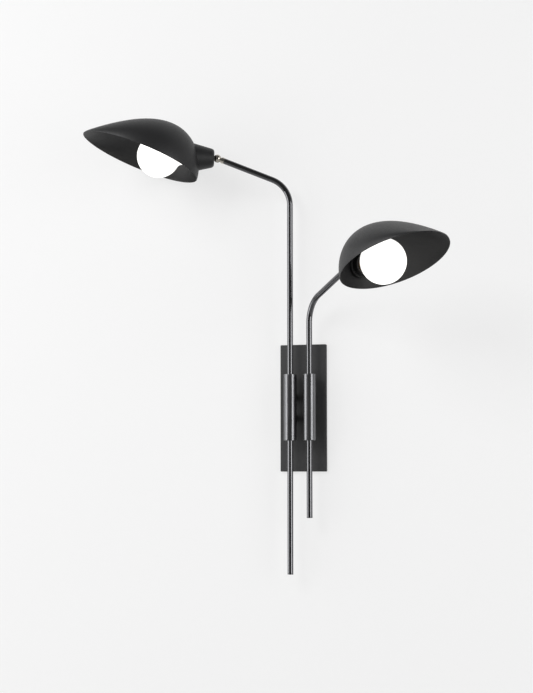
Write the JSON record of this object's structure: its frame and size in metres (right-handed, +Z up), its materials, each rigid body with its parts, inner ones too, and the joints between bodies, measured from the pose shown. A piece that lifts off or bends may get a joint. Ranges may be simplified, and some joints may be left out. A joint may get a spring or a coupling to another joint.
{
  "type": "wall sconce",
  "caption": "Wall sconce with a flat rectangular wall pan, swivel sleeves, bent black rods and leaf-shaped tilting hoods over opal globe lamps.",
  "frame": {"origin": "middle of the wall pan's back, in the wall plane", "axes": "+Z up, +Y into the wall, the room towards -Y, +X to the right for someone facing the wall"},
  "size_m": [0.6534, 0.3037, 0.7839],
  "materials": {
    "pan_black": "matte black powder coat",
    "hood_black": "matte black powder coat",
    "gloss_black": "polished black nickel plate",
    "satin_black": "satin black nickel plate",
    "nickel": "polished nickel plate",
    "zinc_steel": "zinc plate",
    "brass": "pressed brass",
    "bush_black": "moulded black",
    "lead_sheath": "extruded sheath",
    "board_white": "moulded white",
    "opal_glass": "opal glass, lit"
  },
  "bodies": {
    "base": {"wall_pan": "pan_black", "wall_strap": "zinc_steel", "pan_lock_screws": "zinc_steel", "earth_screw": "brass", "standoff_washers": "zinc_steel", "standoff_nuts": "zinc_steel", "left_upper_standoff": "pan_black", "left_lower_standoff": "pan_black", "left_sleeve": "satin_black", "left_upper_bush": "bush_black", "left_lower_bush": "bush_black", "right_upper_standoff": "pan_black", "right_lower_standoff": "pan_black", "right_sleeve": "satin_black", "right_upper_bush": "bush_black", "right_lower_bush": "bush_black"},
    "left_arm": {"left_rod": "gloss_black", "left_foot_plug": "gloss_black", "left_stop_collar": "zinc_steel", "left_collar_grub": "zinc_steel", "left_ride_washer": "bush_black", "left_rod_lead": "lead_sheath", "left_tip_insert": "brass"},
    "left_knuckle": {"left_knuckle_ball": "nickel", "left_knuckle_pin": "nickel"},
    "left_head": {"left_knuckle_tongue": "nickel", "left_cup": "hood_black", "left_cup_nut": "zinc_steel", "left_lamp_holder": "bush_black", "left_screw_shell": "brass", "left_centre_contact": "brass", "left_hood": "hood_black", "left_hood_ring": "bush_black", "left_lamp_cap": "brass", "left_lamp_board": "board_white", "left_globe": "opal_glass"},
    "right_arm": {"right_rod": "gloss_black", "right_foot_plug": "gloss_black", "right_stop_collar": "zinc_steel", "right_collar_grub": "zinc_steel", "right_ride_washer": "bush_black", "right_rod_lead": "lead_sheath", "right_tip_insert": "brass"},
    "right_knuckle": {"right_knuckle_ball": "nickel", "right_knuckle_pin": "nickel"},
    "right_head": {"right_knuckle_tongue": "nickel", "right_cup": "hood_black", "right_cup_nut": "zinc_steel", "right_lamp_holder": "bush_black", "right_screw_shell": "brass", "right_centre_contact": "brass", "right_hood": "hood_black", "right_hood_ring": "bush_black", "right_lamp_cap": "brass", "right_lamp_board": "board_white", "right_globe": "opal_glass"}
  },
  "joints": [
    {"name": "left_arm_swivel", "type": "hinge", "parent": "base", "child": "left_arm", "pos_m": [-0.017, -0.03, 0], "axis": [0, 0, 1], "range_deg": [-4.5, 46.5]},
    {"name": "left_head_turn", "type": "hinge", "parent": "left_arm", "child": "left_knuckle", "pos_m": [-0.13695, -0.07014, 0.43355], "axis": [-0.8853, -0.2962, 0.3584], "range_deg": [-30, 30]},
    {"name": "left_head_tilt", "type": "hinge", "parent": "left_knuckle", "child": "left_head", "pos_m": [-0.13695, -0.07014, 0.43355], "axis": [0.3424, -0.9368, 0.0716], "range_deg": [-45, 45]},
    {"name": "right_arm_swivel", "type": "hinge", "parent": "base", "child": "right_arm", "pos_m": [0.017, -0.03, 0], "axis": [0, 0, -1], "range_deg": [-26.5, 20]},
    {"name": "right_head_turn", "type": "hinge", "parent": "right_arm", "child": "right_knuckle", "pos_m": [0.10644, -0.11944, 0.22654], "axis": [0.6601, -0.6601, 0.3584], "range_deg": [-30, 30]},
    {"name": "right_head_tilt", "type": "hinge", "parent": "right_knuckle", "child": "right_head", "pos_m": [0.10644, -0.11944, 0.22654], "axis": [0.6964, 0.7167, 0.0375], "range_deg": [-45, 45]}
  ]
}
